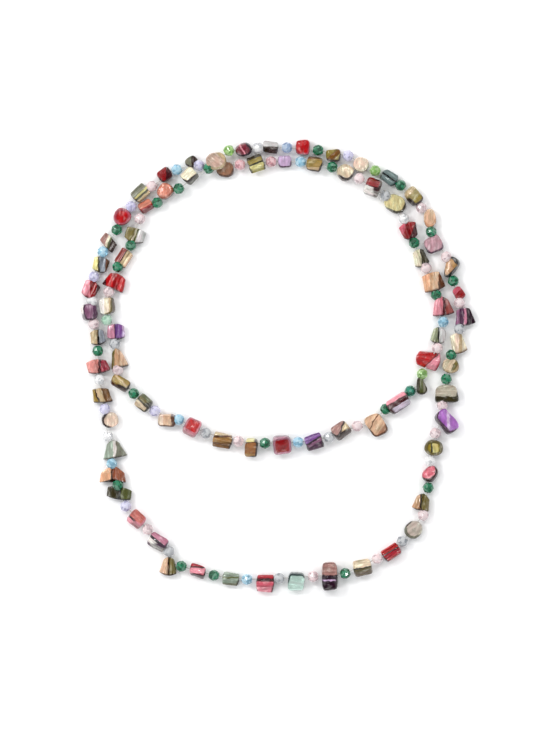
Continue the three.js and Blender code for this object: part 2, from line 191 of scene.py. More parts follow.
# Where each glass bead lies on the grid, in strand order, and its glass
ROUTE = [
    (209, 169, "emerald"), (179, 189, "emerald"), (157.5, 203, "emerald"), (140, 219, "blush"),
    (131, 245.5, "emerald"), (118, 267, "emerald"), (109, 292, "blush"), (107, 320, "mint"),
    (115, 344, "smoke"), (118, 370, "blush"), (134, 393.5, "emerald"), (155, 411, "lavender"),
    (179, 419.5, "sky"), (206, 433, "smoke"), (238.5, 441, "blush"), (265, 443, "emerald"),
    (298, 442, "sky"), (329, 437, "smoke"), (357, 426, "blush"), (385.5, 409, "emerald"),
    (410, 391, "teal"), (422, 374, "lime"), (437, 348, "blush"), (443, 322, "sky"),
    (436, 295, "emerald"), (426, 268, "blush"), (414, 243, "emerald"), (404, 219, "clear"),
    (385, 196, "smoke"), (359, 179, "blush"), (332, 167.5, "emerald"), (300.5, 162, "sky"),
    (271, 162, "rosy"), (240, 165, "rosy"),
    (199, 165.6, "lavender"), (177, 170, "sky"), (152, 186.5, "blush"), (131, 206.5, "lavender"),
    (117, 230, "emerald"), (103, 252, "sky"), (94, 277, "lavender"), (92.5, 301.5, "clear"),
    (94, 324, "blush"), (98, 351, "emerald"), (100, 380, "clear"), (105, 409, "lavender"),
    (108, 436, "clear"), (112, 463.5, "sky"), (118, 485, "emerald"), (126, 506, "lavender"),
    (148, 529, "blush"), (169, 551, "smoke"), (181.5, 566, "emerald"), (214, 575, "emerald"),
    (247, 579, "sky"), (279, 578, "smoke"), (313, 576, "blush"), (345, 573, "emerald"),
    (377, 558, "blush"), (402, 541, "smoke"), (423, 515, "blush"), (428, 487.5, "emerald"),
    (430, 461, "clear"), (435, 433, "blush"), (442, 405, "blush"), (446, 379, "emerald"),
    (451, 355, "emerald"), (459, 329, "smoke"), (459, 303, "blush"), (453, 281, "emerald"),
    (446, 257, "blush"), (431, 232, "emerald"), (421, 208, "blush"), (400.5, 185.5, "emerald"),
    (375, 171, "lime"), (348, 156, "lavender"), (318, 150.5, "emerald"), (287, 148, "steel"),
    (258, 148, "clear"), (229, 151, "lime"),
]

# Chips in strand order: form; long, wide, thick, in squares; turn and roll in degrees; slip
# ahead and out to the left in squares; lift in millimetres; taper, skew and vee as shares;
# then the way in which the dyes follow one another (0 to the right, 90 to the back), the
# dyes with the share of the way that each band goes up to, the dye of the rim and the dye of
# the edge, both darkened as painted shade. A rim that shows most elsewhere than at
# SHADE_SIDE_RIM_WAY, the side of painted shade, has its own way in degrees, or the word round.
COLUMNS = (
    "form long wide thick turn roll slip out lift taper skew vee way bands rim edge").split()
CHIPS = [dict(zip(COLUMNS, row)) for row in [
    ("round", 22, 19, 9, -32, 0, 3.5, -0.5, 3.8, 0.15, 0, 0,
     45, "nude .8 sand", "sand", "brown"),
    ("block", 16, 14, 10, 11, 30, 2, -4.5, 1.6, 0, 0, 0,
     -45, "ivory .7 pewter .78 silver", "umber", "pewter"),
    ("round", 18, 16, 9, 12, 15, 0, -5, 1.2, 0.2, 0, 0,
     0, "salmon .8 copper", "salmon", "umber"),
    ("block", 16, 11, 8, -12, 30, -1, -5, 0, 0, 0, 0,
     -60, "salmon .52 cherry", "cherry", "cherry"),
    ("twin", 16, 22, 9, 0, 0, 3, 1, 0, 0, 0, -0.1,
     -20, "olive .42 cream .52 moss .6 silver", "umber", "darkolive"),
    ("ribbed", 19, 15, 9, -1, 0, 2, 0.5, 0, 0, 0.1, 0,
     -30, "brick .38 maroon .46 sand .8 peach", "umber", "brown"),
    ("ribbed", 17, 22, 10, -5, 0, 1.5, 3, 0, -0.3, 0, 0.15,
     0, "maroon .16 scarlet .44 cherry .6 scarlet", "cherry", "maroon"),
    ("block", 18, 15, 9, 9, 25, 0, -0.5, 0.4, 0.12, 0, 0,
     0, "pearl .34 cream .6 sand .76 olive", "olive -30", "brown"),
    ("twin", 17, 19, 9, -18, 0, 1.5, 5, 0, -0.1, 0, 0,
     0, "dustypink .4 plum .46 violet .86 lilac", "darkplum -60", "darkplum"),
    ("tent", 21, 15, 10, 7, 0, 2, 1.5, 0, -0.6, 0, 0.35,
     0, "olive .2 tan .52 peach", "umber", "umber"),
    ("block", 21, 11, 9, 24, -30, -2, -5, 0, 0, 0, 0,
     -135, "gold .3 sand .42 gold .78 brown", "umber", "brown"),
    ("block", 17, 12, 12, 0, 40, 0, -1, 0, 0.1, 0, 0,
     45, "beige .42 ink .5 olive .74 moss", "darkolive", "darkolive"),
    ("block", 19, 13, 9, 15, 15, 1.5, -4.5, 0, 0, 0, 0,
     0, "peachcream .3 peach .74 brown", "brown", "umber"),
    ("block", 17, 18, 11, -3, -25, 0, -1, 0, -0.08, 0, 0,
     0, "scarlet", "pink round", "rose"),
    ("ribbed", 21, 16, 10, 2, 20, 1, -3, 0, 0.08, 0, 0,
     -90, "sand .24 brown .34 honey .6 bronze", "umber", "umber"),
    ("block", 14, 19, 10, -1, 20, 0, -5.5, 0, 0, 0, 0,
     -90, "butter .2 brown .26 amber .8 honey", "umber -20", "umber"),
    ("block", 20, 19, 11, 3, 15, 0.5, -2, 0, 0.05, 0, 0,
     -45, "cherry", "dustypink round", "mauve"),
    ("ribbed", 19, 14, 14, 9, -50, 0, -2, 0, -0.1, 0, 0,
     -60, "violet .36 darkplum .46 mauve .62 plum", "plum", "darkplum"),
    ("block", 19, 14, 11, 14, -35, -1.5, 2, 0, 0.15, 0, 0,
     -20, "rosybrown .45 umber .53 sand .8 honey", "umber", "brown"),
    ("block", 25, 19, 8, -89, 0, 0.5, -9, 0, 0.06, 0.12, 0,
     -30, "peach .34 brown .38 peach .74 fawn", "brown", "brown"),
    ("barrel", 25, 16, 14, -3, -30, -1.5, -2.5, 0, 0.05, 0, 0,
     -60, "pink .26 maroon .6 lavender .9 plum", "maroon -90", "darkplum"),
    ("drop", 19, 12, 9, -132, 0, 0, -6, 0, 0, 0, 0,
     0, "darkolive .3 moss .6 pewter", "darkolive", "ink"),
    ("tent", 26, 18, 12, -73, 0, 0, 2, 0, -0.35, 0, 0,
     -45, "scarlet .56 maroon .6 pink", "rosered", "maroon"),
    ("twin", 18, 15, 9, 3, 0, -1, 1.5, 0, 0.15, 0, 0,
     0, "sage .48 ink .56 silver", "umber", "pewter"),
    ("twin", 21, 20, 10, -5, 0, 1, -3, 0, 0.45, 0, -0.2,
     0, "pink .45 maroon .6 brick", "maroon", "darkplum"),
    ("ribbed", 20, 22, 10, -3, 0, -1, -1.5, 0, 0.15, 0, 0,
     0, "apricot .34 tan .46 peach .7 brown", "brown", "umber"),
    ("twin", 20, 15, 9, -6, 0, -2.5, 1, 0, 0.3, 0, 0,
     10, "ivory .5 ink .56 darkolive", "ink", "darkolive"),
    ("twin", 19, 18, 10, -3, 0, 0, 0, 0, -0.3, 0, 0,
     -20, "rose .28 cherry .7 maroon", "maroon", "maroon"),
    ("round", 24, 19, 8, 25, 0, 2.5, -2.5, 0, 0.1, 0, 0,
     0, "butterbeige", "darkolive", "olive"),
    ("block", 17, 15, 15, 13, 45, -0.5, 0, 0, 0.1, 0, 0,
     -110, "cherry .46 maroon .52 pearl .9 silver", "maroon 0", "pearl"),
    ("round", 18, 17.5, 9, -24, 15, 0.5, 0, 0.6, 0.12, 0, 0,
     0, "beige", "umber", "brown"),
    ("block", 17, 15, 10, -3, -15, 2, 0, 0, 0.05, 0, 0,
     -90, "bronze .22 gold .7 sand", "umber", "brown"),
    ("block", 14.5, 13, 8, 3, 0, 1, 0, 0, 0.05, 0, 0,
     0, "lilac", "plum", "plum"),
    ("ribbed", 17, 15, 15, 14, -45, -0.5, 1, 0, 0.1, 0, 0,
     -70, "darkolive .2 oldgold .46 ink .54 lemon", "darkolive", "darkolive"),
    ("round", 19, 17, 7, -12, 0, -5.5, 4.5, 0, 0.1, 0, 0,
     0, "fawn", "brown", "umber"),
    ("round", 14, 12, 7, 4, 0, -4.5, -5, 0, 0.1, 0, 0,
     0, "pewter .5 umber", "umber", "umber"),
    ("block", 15, 14, 8, -1, 0, -2, -2.5, 0, 0.08, 0, 0,
     0, "cherry .6 maroon", "maroon", "maroon"),
    ("ribbed", 19, 15, 9, -2, 0, -1.5, -3, 0, 0.1, 0, 0,
     -45, "pewter .46 butter .6 pewter .76 sand", "umber", "pewter"),
    ("round", 19, 18, 10, -11, 0, 0, -2, 0, 0.2, 0, 0,
     0, "scarlet", "rose round", "maroon"),
    ("ribbed", 12, 19, 8, -3, 0, 2, 0, 0, -0.1, 0.2, 0,
     -20, "rosybrown .36 cream .5 moss .62 umber", "umber", "umber"),
    ("twin", 17, 17, 8, 5, 0, -0.5, 2.5, 0, 0.1, 0, 0,
     0, "butter .34 darkolive .42 bluegrey .76 brown", "umber", "brown"),
    ("twin", 19, 17, 10, -21, 0, 0.5, -2.5, 0, 0.15, 0, 0,
     0, "pink .46 cherry .8 maroon", "cherry", "maroon"),
    ("block", 18, 16, 10, 6, -20, -1, -3.5, 0, 0.1, 0, 0,
     0, "pearl .2 plum .3 mauve .74 plum", "plum", "plum"),
    ("twin", 17, 16, 8, 2, 0, 0, 2, 0, -0.1, 0, 0,
     0, "sand .46 ink .56 bluegrey", "umber", "umber"),
    ("twin", 16, 23, 9, 16, 0, 1, -1, 0, -0.1, 0.2, 0,
     0, "shellpink .5 maroon .62 wine", "maroon", "maroon"),
    ("ribbed", 16, 19, 9, 5, 0, 1, -0.5, 0, -0.2, 0.2, 0,
     20, "gold .26 umber .34 sand .6 bronze", "umber", "umber"),
    ("round", 18, 16, 8, -86, -10, -2, 4, 0, 0.05, 0, 0,
     0, "peachcream", "umber 200", "umber"),
    ("tent", 19, 20, 9, 2, 0, 0.5, 4, 0, -0.65, 0, 0.15,
     0, "greysage .42 pearl .54 pewter", "darkolive", "pewter"),
    ("twin", 15, 27, 9, -16, 0, 0, -2, 0, -0.15, 0, 0.45,
     0, "apricot .44 umber .5 copper", "umber", "brown"),
    ("twin", 14, 27, 8, -31, 0, -3, -1.5, 0, 0, 0, 0,
     0, "darkolive .46 ink .56 moss", "ink", "darkolive"),
    ("block", 18, 14, 11, 6, -35, 1, -1, 0, 0.05, 0, 0,
     45, "pink .28 maroon .42 salmonpink", "pink -60", "rosered"),
    ("block", 21, 12, 12, 16, -40, 1, -1.5, 0, 0.1, 0, 0,
     -128, "roseblush .38 darkplum .54 pearl .84 plum", "plum", "pearl"),
    ("twin", 20, 16, 9, -45, 0, 1.5, -10, 0, -0.45, 0, 0,
     0, "peach .5 umber .58 olive", "umber", "brown"),
    ("block", 18, 12, 8, -5, -25, 0, 0, 0, 0, -0.15, 0,
     -90, "rosered .2 maroon .3 pink .64 rose", "maroon", "maroon"),
    ("ribbed", 18, 14, 8, -1, 0, 0.5, -1.5, 0, 0.04, 0, 0,
     -90, "greysage .36 moss .46 greysage .8 pewter", "darkolive", "moss"),
    ("ribbed", 19, 19, 10, -5, 0, 2, -4.5, 0, -0.1, 0, 0,
     -90, "rosered .2 maroon .38 rose .68 pink", "maroon", "maroon"),
    ("block", 18, 19, 9, -8, 12, 0, -4, 0, 0.1, 0, 0,
     -90, "darkteal .08 paleteal", "darkteal 110", "greyteal"),
    ("block", 17, 31, 13, -5, -5, 0.5, -1.5, 0, 0.08, 0, 0,
     -90, "rosybrown .44 darkplum .58 lilac .64 darkplum", "darkplum", "darkplum"),
    ("block", 20, 14, 13, -13, -40, 0.5, -2, 0, 0.1, 0, 0,
     -80, "beige .46 ink .56 bronze", "olive", "bronze"),
    ("ribbed", 20, 14, 10, -1, -15, 0, -3, 0, 0.06, 0, 0,
     -60, "scarlet .34 maroon .44 rosered .76 cherry", "maroon", "maroon"),
    ("round", 20, 18, 9, -11, 0, -0.5, -1.5, 0, 0.18, 0, 0,
     -45, "umber .1 taupe .84 greige", "pewter -120", "umber"),
    ("twin", 18, 17, 9, -5, 0, -2, 3.5, 0, 0.3, 0, -0.2,
     0, "tan .48 ink .56 olive", "umber", "brown"),
    ("round", 19, 14, 9, -41, -20, 0.5, -1, 0, 0.1, 0, 0,
     0, "rose .78 maroon", "maroon", "maroon"),
    ("round", 17, 20, 11, 0, 0, -0.5, -1, 0, 0.1, 0, 0,
     0, "oldgold .34 darkolive .44 lemon .74 oldgold", "olive round", "brown"),
    ("block", 27, 16, 10, 54, 20, -0.5, -8, 0, 0.08, 0, 0,
     0, "plum .16 orchid .5 lilac .62 orchid", "plum -120", "darkplum"),
    ("block", 19, 25, 10, 9, 0, -1.5, -2.5, 0, 0.2, 0, -0.12,
     -90, "greige .66 darkolive", "darkolive", "darkolive"),
    ("round", 16, 18, 9, 2, 0, 1.5, -1.5, 0, 0.1, 0, 0,
     -30, "beige .6 olive", "sand", "brown"),
    ("ribbed", 22, 15, 9, 34, 0, -0.5, -3, 0, 0.25, 0, 0,
     0, "cream .3 peachcream .5 sand .7 cream", "brown", "tan"),
    ("ribbed", 19, 19, 9, 10, 0, -1, -5, 0, 0.45, 0, 0,
     0, "mauve .2 plum .42 roseblush .56 darkplum", "darkplum", "darkplum"),
    ("block", 14, 11, 8, 17, 0, -2, -2, 0, 0.2, 0, 0,
     -45, "rose .4 cherry", "rosered", "maroon"),
    ("drop", 23, 14, 9, -41, -20, 1, -1.5, 0, 0, 0, 0,
     45, "tan .56 honey .78 ink", "ink", "umber"),
    ("block", 19, 18, 8, 84, 0, 2.5, 4.5, 0, 0.15, 0, 0,
     0, "fadedpink", "plum", "maroon"),
    ("round", 20, 13, 9, -23, 0, 0, -4, 0, 0.15, 0, 0,
     0, "peach", "apricot", "brown"),
    ("block", 20, 14, 9, -4, 20, -1.5, -2, 0, 0.12, 0, 0,
     -45, "sand .3 khaki .66 oldgold", "umber", "umber"),
    ("twin", 19, 14, 8, -5, 15, -1, -1, 0, 0.1, 0, 0,
     55, "greyteal .46 ink .56 greyteal", "darkteal", "darkteal"),
    ("round", 17, 16, 8, 9, 0, 0, 1.5, 0, 0.1, 0, 0,
     0, "peachcream", "cream", "tan"),
    ("block", 16, 13, 9, 10, 0, -0.5, 2.4, 0, 0.1, 0, 0,
     -45, "oldgold .4 bronze .7 khaki", "umber", "umber"),
    ("block", 15, 16, 9, 3, 0, 0, -1.6, 0, 0.08, 0, 0,
     0, "scarlet", "rose", "cherry"),
    ("block", 17, 11, 8, -8, 40, 2, -0.5, 0, 0.15, 0, 0,
     -90, "silver .46 umber", "umber", "umber"),
    ("round", 18, 13, 9, 11, -20, 0, 0.5, 0, 0.15, 0, 0,
     30, "garnet .4 pink .48 garnet .78 darkplum", "darkplum", "maroon"),
]]


def daylight(values, depth=1.0):
    """A written colour in shader numbers."""
    return tuple(depth * (value / FULL) ** CURVE for value in values) + (1.0,)


class Wire:
    """A value on its way through a look's nodes, which sums can be written with."""

    def __init__(self, look, socket):
        self.look = look
        self.socket = socket

    def worked(self, operation, *values):
        """What one Math node makes of the values."""
        return self.look.node("Math", {"operation": operation}, dict(enumerate(values)))

    def __add__(self, other):
        return self.worked("ADD", self, other)

    def __radd__(self, other):
        return self.worked("ADD", other, self)

    def __sub__(self, other):
        return self.worked("SUBTRACT", self, other)

    def __rsub__(self, other):
        return self.worked("SUBTRACT", other, self)

    def __mul__(self, other):
        return self.worked("MULTIPLY", self, other)

    def __rmul__(self, other):
        return self.worked("MULTIPLY", other, self)

    def __truediv__(self, other):
        return self.worked("DIVIDE", self, other)

    def __rtruediv__(self, other):
        return self.worked("DIVIDE", other, self)

    def size(self):
        """The value without its sign."""
        return self.worked("ABSOLUTE", self)

    def wave(self):
        """The sine of the value."""
        return self.worked("SINE", self)

    def held(self):
        """Kept between 0 and 1."""
        return self.look.node("Clamp", {}, {0: self})

    def past(self, border, soft):
        """0 before the border and 1 after it, over a soft step."""
        return ((self - border) / soft + 0.5).held()


class Look:
    """The nodes of a material or of the world, and what they are made with."""

    def __init__(self, owner, last="Principled BSDF"):
        owner.use_nodes = True
        self.owner = owner
        self.tree = owner.node_tree
        self.last = self.tree.nodes[last]

    def node(self, kind, settings=None, values=None, out=0):
        """A node of a kind: its settings come first, then the values or links of its sockets."""
        made = self.tree.nodes.new("ShaderNode" + kind)
        for name, setting in (settings or {}).items():
            if name == "stops":
                self.put_stops(made.color_ramp.elements, setting)
            else:
                setattr(made, name, setting)
        for name, value in (values or {}).items():
            self.put(made.inputs[name], value)
        return Wire(self, made.outputs[out])

    def put_stops(self, elements, stops):
        """Gives the stops of a ramp their places and colours."""
        for element, (place, colour) in zip(elements, stops):
            element.position = place
            element.color = colour

    def put(self, socket, value):
        """Links a wire to a socket, or sets the socket to a number or colour."""
        if isinstance(value, Wire):
            self.tree.links.new(value.socket, socket)
        else:
            socket.default_value = value

    def set(self, **values):
        """Values or links for the last node."""
        for name, value in values.items():
            self.put(self.last.inputs[name.replace("_", " ")], value)

    def mark(self, name, out="Color"):
        """What is noted at each point under a name."""
        return self.node("Attribute", {"attribute_name": name}, out=out)

    def mix(self, share, a, b, kind="MIX"):
        """Colour a, changed by colour b as much as the share says."""
        return self.node("Mix", {"data_type": "RGBA", "blend_type": kind},
                         {0: share, 6: a, 7: b}, out=2)

    def scaled(self, vector, by):
        """A vector whose three parts are each multiplied."""
        return self.node("VectorMath", {"operation": "MULTIPLY"}, {0: vector, 1: by})

    def clouds(self, vector, scale=1.0, detail=2.0):
        """Soft random grey."""
        return self.node("TexNoise", {}, {"Vector": vector, "Scale": scale, "Detail": detail})

    def parts(self, vector):
        """The three parts of a vector."""
        split = self.node("SeparateXYZ", {}, {0: vector}).socket.node
        return [Wire(self, socket) for socket in split.outputs]

    def bump(self, height, strength, distance):
        """The tilt that a fine relief gives the surface."""
        return self.node("Bump", {}, {"Height": height, "Strength": strength, "Distance": distance})


# Shell: how finely each kind of grain runs across the bands, along them and upwards
STREAK_RUN = (0.95, 0.2, 0.8)
STREAK_DETAIL = 3.0
MIST_RUN = (0.5, 0.28, 0.5)
FIBRE_RUN = (5.0, 1.2, 5.0)
WANDER_RUN = 0.34

# Shell: how far the borders of bands wander and how soft they are; the layers of the side;
# and the value of the streaks that the veins follow, with how far they reach on each side
BAND_WANDER = 0.16
BAND_SOFT = 0.03
LAYERS = 21.0
LAYER_WANDER = 6.0
LAYER_LIFT = 0.2
VEIN_PLACE = 0.52
VEIN_WIDTH = 0.022

# Shell: where each thing begins, on the grain or mark that it follows, and how softly
SIDE_STEP = (0.34, 0.16)
RIM_STEP = (0.44, 0.24)
STREAK_STEP = (0.45, 0.4)
VEIN_STEP = (0.48, 0.08)
CAST_STEP = (0.5, 0.4)
MISTY_SHEEN_STEP = (0.6, 0.16)
STREAKY_SHEEN_STEP = (0.5, 0.2)
METAL_STEP = (0.55, 0.4)

# Shell: how strongly each thing shows
LAYER_SHARE = 0.7
STREAK_SHARE = 0.7
VEIN_SHARE = 0.6
CAST_SHARE = 0.8
PAINTED_SHEEN_SHARE = 0.55
PAINTED_SHEEN_WHITE_SHARE = 0.4
METAL_SHARE = 0.28

# Shell: what its dyes are multiplied by, and the white of its painted pearly sheen
STREAK_DARK = (0.42, 0.37, 0.35, 1)
STREAK_LIGHT = (1.2, 1.2, 1.2, 1)
VEIN = (0.14, 0.1, 0.08, 1)
ROSY_CAST = (1.06, 0.94, 0.98, 1)
GREEN_CAST = (0.94, 1.05, 1.02, 1)
PAINTED_SHEEN_GAIN = (1.7, 1.7, 1.7, 1)
PAINTED_SHEEN_WHITE = (0.86, 0.83, 0.8, 1)

# Shell: the relief of its grain
STREAK_RELIEF = 0.6
FIBRE_RELIEF = 0.1
RELIEF_STRENGTH = 0.32
RELIEF_DEPTH = 0.8 * MM


def shell_look():
    """Dyed mother of pearl: bands of dye; a rim and a layered edge, darkened as painted shade;
    veins; and pearly clouds of painted sheen.
    """
    look = Look(bpy.data.materials.new("dyed_shell"))
    grain = look.mark("grain", "Vector")
    place, lip, height = look.parts(look.mark("lie", "Vector"))
    cuts = look.parts(look.mark("cuts", "Vector"))
    wander = look.clouds(grain, WANDER_RUN)
    streaks = look.clouds(look.scaled(grain, STREAK_RUN), detail=STREAK_DETAIL)
    mist = look.clouds(look.scaled(grain, MIST_RUN))
    fibres = look.clouds(look.scaled(grain, FIBRE_RUN))
    place = place + (wander - 0.5) * BAND_WANDER
    colour = look.mark("dye_1")
    for number, cut in enumerate(cuts, 2):
        colour = look.mix(place.past(cut, BAND_SOFT), colour, look.mark(f"dye_{number}"))
    layers = ((height * LAYERS + wander * LAYER_WANDER).wave() + LAYER_LIFT).held()
    # Painted shade: the rim and the layered edge take darkened dyes, the edge darkest, and the edge
    # fills the lower part of the walls
    side = look.mix(layers * LAYER_SHARE, look.mark("edge_dye_and_painted_shade"), look.mark("rim_dye_and_painted_shade"))
    outer = look.mix((1.0 - height).past(*SIDE_STEP), look.mark("rim_dye_and_painted_shade"), side)
    colour = look.mix(lip.past(*RIM_STEP), colour, outer)
    streaked = look.mix(streaks.past(*STREAK_STEP), STREAK_DARK, STREAK_LIGHT)
    colour = look.mix(STREAK_SHARE, colour, streaked, "MULTIPLY")
    vein = (1.0 - (streaks - VEIN_PLACE).size() / VEIN_WIDTH).held() * mist.past(*VEIN_STEP)
    colour = look.mix(vein * VEIN_SHARE, colour, VEIN, "MULTIPLY")
    cast = look.mix(mist.past(*CAST_STEP), ROSY_CAST, GREEN_CAST)
    colour = look.mix(CAST_SHARE, colour, cast, "MULTIPLY")
    # Painted pearly sheen: patches where mist and streaks meet are brightened and whitened
    pearl = mist.past(*MISTY_SHEEN_STEP) * streaks.past(*STREAKY_SHEEN_STEP)
    sheen_brightened = look.mix(1.0, colour, PAINTED_SHEEN_GAIN, "MULTIPLY")
    pale = look.mix(PAINTED_SHEEN_WHITE_SHARE, sheen_brightened, PAINTED_SHEEN_WHITE)
    colour = look.mix(pearl * PAINTED_SHEEN_SHARE, colour, pale)
    relief = streaks * STREAK_RELIEF + fibres * FIBRE_RELIEF + wander
    look.set(Base_Color=colour, Roughness=0.18 + mist * 0.2, Coat_Weight=0.5,
             Coat_Roughness=0.04, IOR=1.4, Metallic=mist.past(*METAL_STEP) * METAL_SHARE,
             Normal=look.bump(relief, RELIEF_STRENGTH, RELIEF_DEPTH))
    return look.owner


# Glass: how finely its wear and its painted glints run; where the deeper tint of painted shade,
# the pale painted glints and the painted dark reflections begin and how softly; how strongly
# they show; the white in a painted glint, and what a painted dark reflection is multiplied by
WEAR_RUN = 1.6
WEAR_DETAIL = 3.0
PAINTED_GLINT_RUN = 0.75
PAINTED_DEEP_SHADE_STEP = (0.6, 0.2)
PAINTED_GLINT_STEP = (0.72, 0.12)
PAINTED_DARK_REFLECTION_STEP = (0.78, 0.06)
PAINTED_DEEP_SHADE_SHARE = 0.6
PAINTED_GLINT_SHARE = 0.7
PAINTED_DARK_REFLECTION_SHARE = 0.62
WHITE_IN_PAINTED_GLINT = 0.22
WHITE = (1, 1, 1, 1)
PAINTED_DARK_REFLECTION = (0.4, 0.42, 0.45, 1)


def glass_look():
    """Clear and coloured glass, lightly worn, with light and dark flashes of its facets painted on
    as glints, dark reflections and shade.
    """
    look = Look(bpy.data.materials.new("faceted_glass"))
    grain = look.mark("grain", "Vector")
    wear = look.clouds(grain, WEAR_RUN, WEAR_DETAIL)
    painted_glint_cells = look.node("TexVoronoi", {}, {"Vector": grain, "Scale": PAINTED_GLINT_RUN}, "Color")
    painted_flash = look.parts(painted_glint_cells)[0]
    tint = look.mark("tint")
    # Painted shade: some facets take a deeper tint
    tint = look.mix((1.0 - painted_flash).past(*PAINTED_DEEP_SHADE_STEP) * PAINTED_DEEP_SHADE_SHARE, tint, tint, "MULTIPLY")
    # Painted glints: some facets are paler and whiter
    pale = look.mix(WHITE_IN_PAINTED_GLINT, tint, WHITE)
    tint = look.mix(painted_flash.past(*PAINTED_GLINT_STEP) * PAINTED_GLINT_SHARE, tint, pale)
    # Painted dark reflections: some facets are greyed
    dark = (1.0 - painted_flash).past(*PAINTED_DARK_REFLECTION_STEP) * PAINTED_DARK_REFLECTION_SHARE
    tint = look.mix(dark, tint, PAINTED_DARK_REFLECTION, "MULTIPLY")
    look.set(Base_Color=tint, Roughness=0.02 + wear * 0.05, IOR=1.52, Transmission_Weight=0.42)
    return look.owner


# Thread: how finely its twist runs and wanders, its relief, and the colours in and on it
TWIST_RUN = 1.4
TWIST_WANDER = 0.4
TWIST_STRENGTH = 0.5
TWIST_DEPTH = 0.1 * MM
THREAD_DARK = (0.46, 0.45, 0.42, 1)
THREAD_PALE = (0.72, 0.71, 0.68, 1)


def thread_look():
    """Pale twisted thread."""
    look = Look(bpy.data.materials.new("stringing_thread"))
    grain = look.mark("grain", "Vector")
    twist = look.node("TexWave", {"wave_type": "BANDS", "bands_direction": "DIAGONAL"},
                      {"Vector": grain, "Scale": TWIST_RUN, "Distortion": TWIST_WANDER})
    look.set(Base_Color=look.mix(twist, THREAD_DARK, THREAD_PALE), Roughness=0.5 + twist * 0.1,
             Normal=look.bump(twist, TWIST_STRENGTH, TWIST_DEPTH))
    return look.owner


def facing(angle):
    """A level direction, its angle counted from the right towards the back."""
    return Vector((math.cos(angle), math.sin(angle), 0))


def anywhere(rng, room):
    """A random place in a room of grain."""
    return Vector((rng.random(), rng.random(), rng.random())) * room


def rounded(points, radius):
    """An outline whose corners turn through short curves, with no long gap between points."""
    turned = []
    for i, corner in enumerate(points):
        back = points[i - 1] - corner
        ahead = points[(i + 1) % len(points)] - corner
        start = corner + back.normalized() * min(radius, CORNER_MOST * back.length)
        end = corner + ahead.normalized() * min(radius, CORNER_MOST * ahead.length)
        for k in range(CORNER_STEPS + 1):
            u = k / CORNER_STEPS
            turned.append(start * (1 - u) ** 2 + corner * (2 * u * (1 - u)) + end * u * u)
    full = []
    for i, point in enumerate(turned):
        full.append(point)
        gap = turned[(i + 1) % len(turned)] - point
        added = int(gap.length // MESH_STEP)
        full += [point + gap * (k / (added + 1)) for k in range(1, added + 1)]
    return full


def inset(outline, distance):
    """The outline drawn in by a distance."""
    drawn = []
    count = len(outline)
    for i, point in enumerate(outline):
        run = outline[(i + 1) % count] - outline[i - 1]
        inward = Vector((-run.y, run.x)).normalized()
        drawn.append(point + inward * distance)
    return drawn


def circle(middle, axis, radius, sides, start=0):
    """Points in a circle about an axis, from its left side over the top."""
    side = UP.cross(axis).normalized()
    top = axis.cross(side).normalized()
    angles = [2 * math.pi * (k + start) / sides for k in range(sides)]
    return [middle + (side * math.cos(angle) + top * math.sin(angle)) * radius for angle in angles]


def numbered(rings, count):
    """The numbers of the points in each ring, ring after ring."""
    return [list(range(r * count, (r + 1) * count)) for r in range(rings)]


def band(a, b):
    """The four-sided faces between two rings."""
    turned = [*range(1, len(a)), 0]
    return [(a[i], a[j], b[j], b[i]) for i, j in enumerate(turned)]


def facets(a, b, second_ahead):
    """The triangles between two rings when one of them is half a facet ahead."""
    faces = []
    for a1, a2, b2, b1 in band(a, b):
        if second_ahead:
            faces += [(a1, a2, b1), (a2, b2, b1)]
        else:
            faces += [(a1, b2, b1), (a1, a2, b2)]
    return faces


def piece_of(name, shape, material):
    """An object made of a finished shape."""
    mesh = bpy.data.meshes.new(name)
    shape.to_mesh(mesh)
    shape.free()
    mesh.materials.append(material)
    piece = bpy.data.objects.new(name, mesh)
    bpy.context.collection.objects.link(piece)
    return piece


class Strand:
    """A shape that gathers many small parts, and what is noted at each of its points."""

    def __init__(self, name):
        self.name = name
        self.shape = bmesh.new()
        self.notes = {}

    def add(self, points, faces):
        """Adds points, and faces given by the numbers of their points."""
        corners = [self.shape.verts.new(point) for point in points]
        for face in faces:
            self.shape.faces.new([corners[i] for i in face])

    def note(self, name, kind, values):
        """Notes a value for each point that was added last."""
        self.notes.setdefault(name, (kind, []))[1].extend(values)

    def finish(self, material, crease):
        """The piece, smooth but for its creases, with its notes."""
        bmesh.ops.recalc_face_normals(self.shape, faces=self.shape.faces)
        for face in self.shape.faces:
            face.smooth = True
        for edge in self.shape.edges:
            edge.smooth = edge.calc_face_angle(0) < math.radians(crease)
        piece = piece_of(self.name, self.shape, material)
        for name, (kind, values) in self.notes.items():
            made = piece.data.attributes.new(name, kind, "POINT")
            key = "color" if kind == "FLOAT_COLOR" else "vector"
            made.data.foreach_set(key, [number for value in values for number in value])
        return piece


def chip_rings(chip):
    """Rings of points from one end of a chip to the other, each with its place and lip."""
    seen, bevel, _, points = FORMS[chip["form"]]
    long = chip["long"] * SQUARE * (1 - TUMBLED)
    wide = chip["wide"] * SQUARE * (1 - TUMBLED)
    thick = chip["thick"] * SQUARE
    bevel *= min(thick, wide)
    across, up, through = (long, wide, thick) if seen == "face" else (wide, thick, long)
    outline = [Vector((a * across, b * up)) for a, b in points]
    outline = rounded(outline, CORNER * min(across, up))
    lips, middles, middle_lip = RINGS[seen]
    start = []
    for k, lip in enumerate(lips):
        angle = math.radians(BEVEL_TURN * k)
        ring = inset(outline, bevel * (1 - math.sin(angle)))
        start.append((ring, -through / 2 + bevel * (1 - math.cos(angle)), lip))
    middle = [(outline, through * share, middle_lip) for share in middles]
    end = [(ring, -z, lip) for ring, z, lip in reversed(start)]
    return seen, start + middle + end, Vector((across, up, through))


